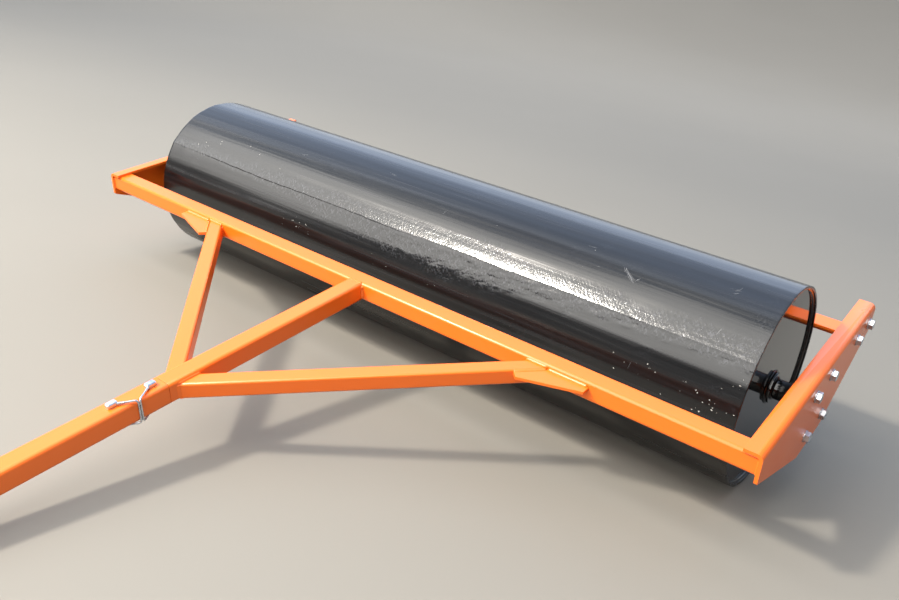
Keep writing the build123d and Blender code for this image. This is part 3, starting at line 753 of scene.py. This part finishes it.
for side, s in SIDES.items():
    toward_apex = (-s * ROOT, -ROOT, 0)
    toward_beam = (s * ROOT, ROOT, 0)
    middle = s * (BEAM_FACE - APEX_Y)
    inner_end, outer_end = middle - s * BRACE_CUT, middle + s * BRACE_CUT
    low_y, high_y = APEX_Y + HALF_TUBE - BRACE_CUT, APEX_Y + HALF_TUBE + BRACE_CUT
    wall = s * HALF_TUBE
    inner, outer = (inner_end, BEAM_FACE), (outer_end, BEAM_FACE)
    low, high = (wall, low_y), (wall, high_y)
    foot, head = TUBE_LOW + 4, BRACE_TOP - 3
    # below, the braces are flush with the tubes, so their seams are grooves
    seam_x, seam_y, seam_z = wall - s * 2.5, BEAM_FACE + 2.5, TUBE_LOW + 2.4
    seam_in, seam_out = (inner_end, seam_y, seam_z), (outer_end, seam_y, seam_z)
    seam_low, seam_high = (seam_x, low_y, seam_z), (seam_x, high_y, seam_z)
    beads = [
        straight((*inner, BRACE_TOP), (*outer, BRACE_TOP), toward_apex, UP, LEG, seed=11),
        straight((*inner, foot), (*inner, head), toward_apex, (-s, 0, 0), LEG, seed=12),
        straight((*outer, foot), (*outer, GUSSET_LOW - 1), toward_apex, (s, 0, 0), LEG, seed=13),
        groove(seam_in, seam_out, AHEAD, BACK, DOWN, half=6, crown=3.2, seed=14),
        straight((*low, BRACE_TOP), (*high, BRACE_TOP), toward_beam, UP, LEG * 0.8, seed=15),
        straight((*low, foot), (*low, head), toward_beam, AHEAD, LEG * 0.8, seed=16),
        straight((*high, foot), (*high, head), toward_beam, BACK, LEG * 0.8, seed=17),
        groove(seam_low, seam_high, (-s, 0, 0), (s, 0, 0), DOWN, half=6, crown=3.2, seed=18)]
    welded(f"brace_welds_{side}", beads, *ORANGE_ON_FRAME)

    away = (s * ROOT, -ROOT, 0)
    tip = (outer_end - s * ALONG_BRACE * ROOT, BEAM_FACE - ALONG_BRACE * ROOT)
    beads = []
    for z, rise in ((GUSSET_TOP, UP), (GUSSET_LOW, DOWN)):
        start, end = (outer_end + s * 2, BEAM_FACE, z), (outer_end + s * ALONG_BEAM, BEAM_FACE, z)
        beads.append(straight(start, end, AHEAD, rise, LEG, seed=21))
        start, end = (outer_end - s * 2, BEAM_FACE - 2, z), (*tip, z)
        if rise is UP:
            rise = (-s * 0.1, 0.1, 0.6)     # only 3 mm of the brace stand above the gusset
        beads.append(straight(start, end, away, rise, LEG, seed=22))
    welded(f"gusset_welds_{side}", beads, *ORANGE_ON_FRAME)

# %% [markdown]
# At the frame's corners the beam butts against the folded end members, and behind the drum an angle
# bar is welded to bolted plates. The hitch's two plates are welded along the drawbar's sides. On the
# drum, each end disc is welded round inside the shell and round its axle's collar.

# %% Welds of the corners, the rear bar and the hitch
WEB = 1082.0
REAR_PLATE = 1074.0
BEAM_REAR = -335.0
FLANGE_EDGE = 1049.0
FLANGE_WELD = 12.0          # a short weld across the flange's end
BAR_FRONT, BAR_REAR, BAR_TOP = 270.0, 335.0, 52.0
for side, s in SIDES.items():
    inward = (-s, 0, 0)
    wall, edge, plate_face = s * WEB, s * FLANGE_EDGE, s * REAR_PLATE
    flange_start = (edge, BEAM_FACE + 2, TUBE_TOP)
    flange_end = (edge + s * FLANGE_WELD, BEAM_FACE + 2, TUBE_TOP)
    low_start, low_end = (wall, BEAM_FACE + 8, TUBE_LOW), (wall, BEAM_REAR - 8, TUBE_LOW)
    web_low, web_high = (wall, BEAM_FACE, TUBE_LOW + 3), (wall, BEAM_FACE, TUBE_TOP - 10)
    rear_low, rear_high = (wall, BEAM_REAR, TUBE_LOW + 6), (wall, BEAM_REAR, TUBE_TOP - 8)
    beads = [
        straight(web_low, web_high, inward, AHEAD, 3.0, seed=31),
        straight(flange_start, flange_end, AHEAD, DOWN, LEG, seed=30),
        straight(low_start, low_end, inward, DOWN, LEG, seed=32),
        straight(rear_low, rear_high, inward, BACK, LEG, seed=33)]
    welded(f"corner_welds_{side}", beads, *ORANGE_ON_FRAME)
    over_start, over_end = (plate_face, BAR_FRONT, BAR_TOP), (plate_face, BAR_REAR - 12, BAR_TOP)
    low_edge = BAR_TOP - 8
    under_start, under_end = (plate_face, BAR_FRONT, low_edge), (plate_face, BAR_REAR - 14, low_edge)
    back_start, back_end = (plate_face, BAR_REAR, BAR_TOP - 13), (plate_face, BAR_REAR, BAR_TOP - 21)
    beads = [
        straight(over_start, over_end, inward, UP, LEG, seed=34),
        straight(back_start, back_end, inward, BACK, LEG, seed=35),
        straight(under_start, under_end, inward, DOWN, LEG, seed=36)]
    welded(f"rear_bar_welds_{side}", beads, *ORANGE_ON_FRAME)

# the hitch's plates lie on the drawbar, from its end to PLATE_REAR
DRAWBAR_END = -1605.3
PLATE_REAR = -1525.3
beads = []
for z, rise, fall in ((TUBE_TOP, UP, DOWN), (TUBE_LOW, DOWN, UP)):
    inside = z - 2.2 * rise[2]
    for s in (-1, 1):
        wall = s * (HALF_TUBE - GROOVE_DEEP)
        start, end = (wall, DRAWBAR_END + 1, inside), (wall, PLATE_REAR, inside)
        beads.append(groove(start, end, rise, fall, (s, 0, 0), half=5.0, crown=3.6, seed=41))
    beads.append(straight((-20, PLATE_REAR, z), (20, PLATE_REAR, z), BACK, rise, LEG, seed=42))
welded("hitch_welds", beads, *ORANGE_ON_FRAME)

# %% Welds of the drum's ends
def round_weld(x, radius, along_u, along_x, leg, pitch, seed):
    """A closed fillet weld round the axle at x. Along_u is 1 outward or -1 inward, on the disc."""
    count = int(math.tau * radius / (pitch / 3))
    a = np.linspace(0, math.tau, count, endpoint=False)
    radial = np.stack([0 * a, np.cos(a), np.sin(a)], 1)
    side = np.zeros((count, 3))
    side[:, 0] = along_x
    path = radial * radius + [x, 0, 0]
    crown = (radial * along_u + side) * leg * 0.6
    return strand(path, radial * along_u * leg, side * leg, crown, pitch, True, seed)


DISC_INSET = 8.0            # the disc's face, from the shell's rim
COLLAR_RADIUS, COLLAR_THICK = 38.0, 10.0
AXLE_RADIUS = 25.0
for side, s in SIDES.items():
    face = s * (DRUM_HALF - DISC_INSET) + DRUM_X
    beads = [
        round_weld(face, DRUM_RADIUS - SHELL_WALL, -1, s, 4.2, 3.6, 51),
        round_weld(face, COLLAR_RADIUS, 1, s, 4.5, 2.6, 52),
        round_weld(face + s * COLLAR_THICK, AXLE_RADIUS, 1, s, 4.5, 2.6, 53)]
    welded(f"drum_end_welds_{side}", beads, black_enamel, "drum", "black_paint")

# %% [markdown]
# ## Bolts
# The bearings and the rear bar are held by M16 bolts: heads and washers outside, washers and nuts
# inside. A hexagon alone looks like a toy. On a real head a cone has cut the corners, which leaves a
# round top face. The head is drawn as rings of points whose radius follows the hexagon, and whose
# height drops where the hexagon passes the cone.

# %% The bolt maker
ACROSS_FLATS = 24.0
TOP_RADIUS = ACROSS_FLATS / 2 * 0.96    # the round top face that the cone leaves
CONE_ANGLE = 30.0
HEAD_HEIGHT = 10.0
NUT_HEIGHT = 13.0
WASHER_RADIUS, WASHER_THICKNESS = 15.0, 3.0
BOLT_RADIUS = 8.0
THREAD_PITCH = 2.0
ROUND = 48


def lathe(profile, twist=0.0, hexagon=None, count=ROUND, closed=False):
    """Rings round the x axis from (x, radius) pairs. Where hexagon holds a ring's number, that ring
    follows the flats, and the cone that cuts the corners pulls its height in. A closed profile
    joins up with its start and has no end faces."""
    a = np.linspace(0, math.tau, count, endpoint=False)
    flats = ACROSS_FLATS / 2 / np.cos((a % (math.pi / 3)) - math.pi / 6)
    points = []
    for number, (x, radius) in enumerate(profile):
        if hexagon and number in hexagon:
            drop = hexagon[number] * (flats - TOP_RADIUS) * math.tan(math.radians(CONE_ANGLE))
            ring = zip(drop, flats, a + twist)
            points += [(x - d, r * math.cos(v), r * math.sin(v)) for d, r, v in ring]
        else:
            points += [(x, radius * math.cos(v), radius * math.sin(v)) for v in a + twist]
    faces = grid_faces(len(profile), count, close_rows=closed, close_columns=True)
    if not closed:
        last = (len(profile) - 1) * count
        faces += [tuple(range(count))[::-1], tuple(range(last, last + count))]
    return np.array(points), faces


def bolt(name, x_head, outward, x_nut, y, z, twist):
    """A bolt along x with its head outside at x_head and its nut inside at x_nut."""
    w, edge, bore = WASHER_THICKNESS, 0.4, BOLT_RADIUS + 0.5
    washer = [
        (0, bore), (0, WASHER_RADIUS - edge), (edge, WASHER_RADIUS), (w - edge, WASHER_RADIUS),
        (w, WASHER_RADIUS - edge), (w, bore)]
    top = w + HEAD_HEIGHT
    head = [
        (w - 0.1, BOLT_RADIUS), (w - 0.1, TOP_RADIUS - 1), (w + 0.6, TOP_RADIUS - 0.5), (w + 0.6, 0),
        (top, 0), (top, TOP_RADIUS - 0.6), (top, 3.6), (top - 0.4, 3.3), (top - 0.4, 0.4)]
    head_rings = {3: 0.0, 4: 1.0}
    nut_top = w + NUT_HEIGHT
    nut = [
        (w, BOLT_RADIUS), (w, TOP_RADIUS), (w, 0), (nut_top, 0), (nut_top, TOP_RADIUS - 0.6),
        (nut_top, BOLT_RADIUS + 0.5), (nut_top - 1, BOLT_RADIUS - 0.5)]
    nut_rings = {2: -1.0, 3: 1.0}
    length = abs(x_head - x_nut) + w + NUT_HEIGHT + 4
    thread = [(0.0, BOLT_RADIUS - 0.6)]
    for ridge in np.arange(length - NUT_HEIGHT - 6, length - 2.5, THREAD_PITCH):
        thread += [(ridge, BOLT_RADIUS - 0.9), (ridge + THREAD_PITCH / 2, BOLT_RADIUS)]
    thread += [(length - 1.0, BOLT_RADIUS - 0.6), (length, BOLT_RADIUS - 1.6)]
    made = []
    for profile, rings, direction, x in [
            (washer, None, outward, x_head), (head, head_rings, outward, x_head),
            (washer, None, -outward, x_nut), (nut, nut_rings, -outward, x_nut),
            (thread, None, -outward, x_head)]:
        points, faces = lathe(profile, twist, rings)
        if direction < 0:
            faces = [face[::-1] for face in faces]
        made.append((points * [direction, 1, 1] + [x, y, z], faces))
    piece(name, *joined(made), *ZINC_ON_FRAME, sharp=25)


print("A bolt is", ACROSS_FLATS, "mm across its flats, and its round top", round(2 * TOP_RADIUS, 1), "mm")

# %% Place the bolts
WEB_OUTSIDE = 1090.0
HOUSING_FACE = WEB - 15.0
HALF_PITCH = 55.5
REAR_BAR_MID, HALF_END_PITCH = 302.5, 50.0
turner = random.Random(12)
for side, s in SIDES.items():
    number = 1
    for y in (-HALF_PITCH, HALF_PITCH):
        for z in (-HALF_PITCH, HALF_PITCH):
            twist = turner.uniform(0, 1.05)
            bolt(f"bearing_bolt_{side}_{number}", s * WEB_OUTSIDE, s, s * HOUSING_FACE, y, z, twist)
            number += 1
    for number, y in enumerate((REAR_BAR_MID - HALF_END_PITCH, REAR_BAR_MID + HALF_END_PITCH), 1):
        twist = turner.uniform(0, 1.05)
        bolt(f"rear_bar_bolt_{side}_{number}", s * WEB_OUTSIDE, s, s * REAR_PLATE, y, HALF_PITCH, twist)

# %% [markdown]
# ## Bearings
# A flange bearing is greased through a nipple on its housing, closed by a rubber seal, and locked on
# the axle by two grub screws in its inner ring. These are small, but they are what makes a bearing
# look like one from close by.

# %% Seals, grease nipples and grub screws
def turned(profile, origin, axis, count, closed=False):
    """A body turned round an axis through origin, from (distance along it, radius) pairs."""
    along_axis = Vector(axis).normalized()
    first = along_axis.orthogonal().normalized()
    points, faces = lathe(profile, count=count, closed=closed)
    return points @ np.array([along_axis, first, along_axis.cross(first)]) + origin, faces


# sections as pairs of a distance along the axis and a radius
NIPPLE = [
    (-3, 3.0), (0, 3.4), (0, 4.6), (3.4, 4.6), (3.6, 3.0), (5.4, 2.1), (6.6, 2.1), (7.4, 3.0),
    (8.6, 3.2), (9.8, 2.4), (10.2, 1.2)]
SCREW = [(-1, 3.2), (1.1, 3.2), (1.5, 2.8), (1.5, 1.9), (0.0, 1.6)]
SEAL = [(0, 41.6), (1.1, 41.0), (1.8, 38.5), (1.4, 35.0), (1.9, 33.0), (1.2, 31.6), (0, 31.4)]
NIPPLE_STEPS, SCREW_STEPS, SEAL_STEPS = 32, 24, 64
# how far each fitting lies inside the web, and its radius from the axle
SEAL_IN, NIPPLE_IN, SCREW_IN = 36.0, 27.0, 49.0
NIPPLE_RADIUS, SCREW_RADIUS = 53.0, 30.4
for side, s in SIDES.items():
    seal = turned(SEAL, (s * (WEB - SEAL_IN), 0, 0), (-s, 0, 0), SEAL_STEPS, closed=True)
    piece(f"bearing_seal_{side}", *seal, nitrile_rubber, "frame", "cast_iron", sharp=50)

    rise = math.radians(62)
    ahead, up = math.cos(rise), math.sin(rise)
    spot = (s * (WEB - NIPPLE_IN), -NIPPLE_RADIUS * ahead, NIPPLE_RADIUS * up)
    nipple = turned(NIPPLE, spot, (-s * 0.25, -ahead, up), NIPPLE_STEPS)
    piece(f"grease_nipple_{side}", *nipple, *ZINC_ON_FRAME, sharp=30)

    screws = []
    for turn_by in (20, 140):
        v = math.radians(turn_by)
        outward = (0, math.cos(v), math.sin(v))
        spot = (s * (WEB - SCREW_IN), SCREW_RADIUS * outward[1], SCREW_RADIUS * outward[2])
        screws.append(turned(SCREW, spot, outward, SCREW_STEPS))
    piece(f"grub_screws_{side}", *joined(screws), bright_zinc, "drum", "black_paint", sharp=30)
fittings = [o for o in bpy.data.objects if o.name.startswith(("bearing_seal", "grease", "grub"))]
print("Bearing fittings:", len(fittings))

# %% [markdown]
# ## Wear on the drum
# The roller has been used: small pale specks of dried lime and chips of paint sit on its front, and
# scuffs cross the plate in a few places. Both are thin flakes, a tenth of a millimetre proud of the
# skin, because a pattern in the paint could not be put where they are. A speck is a low, ragged
# blot. A scuff is a bundle of strokes, each as wide as a scratch and broken by chance.

# %% Two kinds of wear
dried_lime = matt("dried_lime", "#7E7C78", "#CFCCC4", 300.0, 0.8)
scuffed_enamel = matt("scuffed_enamel", "#303133", "#646567", 300.0, 0.5)


def on_skin(x, angle_deg, lift):
    """A point on the drum's skin, x from its middle and an angle up from ahead, lifted a little."""
    column = int(np.argmin(np.abs(along - x)))
    wrapped = (math.radians(angle_deg) - weld_angle[column]) * DRUM_RADIUS
    row = int(np.argmin(np.abs(from_weld - wrapped)))
    r = radius[row, column] + lift
    a = math.radians(angle_deg)
    return (x + DRUM_X, -r * math.cos(a), r * math.sin(a))


# middle along, middle angle, spread along, spread of angle, how many, largest size
SPECK_GROUPS = [
    (-365, 18.5, 60, 4.0, 16, 1.5), (-860, 48.5, 60, 5.0, 9, 1.5), (930, 14.0, 45, 7.0, 20, 1.7),
    (760, 17.0, 150, 6.0, 14, 1.4), (975, 30.0, 22, 9.0, 9, 1.3), (150, 17.5, 240, 6.0, 9, 1.1),
    (560, 64.0, 160, 8.0, 5, 1.1), (895, 49.0, 60, 7.0, 6, 1.3), (-620, 55.0, 150, 8.0, 6, 1.2)]
SPECK_SCALE = 0.85
chance = random.Random(31)
points, faces = [], []
for x0, a0, dx, da, count, size in SPECK_GROUPS:
    for _ in range(count):
        x = min(995, max(-995, chance.gauss(x0, dx * 0.6)))
        a = chance.gauss(a0, da * 0.6)
        big = size * SPECK_SCALE * chance.uniform(0.25, 1.0) ** 1.5
        long, turned_by = chance.uniform(1.0, 2.0), chance.uniform(0, math.pi)
        start, sides = len(points), 9
        points.append(on_skin(x, a, 0.3))
        for k in range(sides):
            v = math.tau * k / sides
            u = big * long * math.cos(v) * chance.uniform(0.6, 1.2)
            w = big * math.sin(v) * chance.uniform(0.6, 1.2)
            dx_mm = u * math.cos(turned_by) - w * math.sin(turned_by)
            da_mm = u * math.sin(turned_by) + w * math.cos(turned_by)
            points.append(on_skin(x + dx_mm, a + math.degrees(da_mm / DRUM_RADIUS), 0.05))
        faces += [(start, start + 1 + k, start + 1 + (k + 1) % sides) for k in range(sides)]
piece("lime_specks", points, faces, dried_lime, "drum", "black_paint", sharp=60)
print("Specks:", len(faces) // 9)

# %% Scuffs
# start along, start angle, end along, end angle, strokes, their spread in mm, width of a stroke
SCUFFS = [
    (633, 65.2, 669, 58.6, 9, 5.0, 0.9), (628, 65.6, 640, 63.6, 8, 6.0, 1.0),
    (668, 59.0, 678, 62.5, 5, 3.0, 0.7), (-318, 27.5, -312, 33.5, 2, 1.0, 0.6),
    (96, 57.5, 104, 64.5, 2, 1.0, 0.5), (884, 74.5, 899, 82.0, 3, 3.0, 0.7),
    (868, 75.5, 905, 77.5, 3, 3.0, 0.7), (880, 71.5, 897, 75.0, 3, 4.0, 0.8),
    (735, 13.0, 741, 20.5, 2, 1.0, 0.6), (893, 46.5, 900, 51.5, 3, 1.5, 0.8),
    (-500, 89.0, -470, 91.0, 5, 4.0, 0.7), (-160, 77.5, -120, 75.0, 5, 5.0, 0.6),
    (-480, 66.0, -445, 68.5, 4, 4.0, 0.6), (-400, 73.0, -380, 79.0, 2, 1.5, 0.5),
    (505, 72.0, 540, 73.0, 3, 4.0, 0.5)]
points, faces = [], []
for x0, a0, x1, a1, strokes, spread, width in SCUFFS:
    for _ in range(strokes):
        turn_spread = math.degrees(spread / DRUM_RADIUS)
        start = (x0 + chance.uniform(-1, 1) * spread, a0 + chance.uniform(-1, 1) * turn_spread)
        end = (x1 + chance.uniform(-1, 1) * spread, a1 + chance.uniform(-1, 1) * turn_spread)
        run_x, run_a = end[0] - start[0], math.radians(end[1] - start[1]) * DRUM_RADIUS
        length = math.hypot(run_x, run_a)
        first, last = chance.uniform(0, 0.4), chance.uniform(0.6, 1.0)
        steps = max(5, int(length * (last - first) / 3))
        for i in range(steps + 1):
            t = first + (last - first) * i / steps
            fade = (1 - (2 * i / steps - 1) ** 2) ** 0.5
            half = width * 0.5 * (fade + 0.03) * chance.uniform(0.3, 1.2)
            for k in (-half, half):
                x = min(998, start[0] + run_x * t - k * run_a / length)
                aside = math.degrees(k * run_x / length / DRUM_RADIUS)
                a = start[1] + (end[1] - start[1]) * t + aside
                points.append(on_skin(x, a, 0.1))
            if i:
                n = len(points)
                faces.append((n - 2, n - 1, n - 3, n - 4))
piece("drum_scuffs", points, faces, scuffed_enamel, "drum", "black_paint", sharp=60)
print("Scuffs:", len(SCUFFS))

# %% [markdown]
# ## Finish
# Colours are shown as they are mixed, without a film look, so that a paint keeps the colour of its
# chart.

# %% Show and finish
bpy.context.scene.view_settings.view_transform = "Standard"
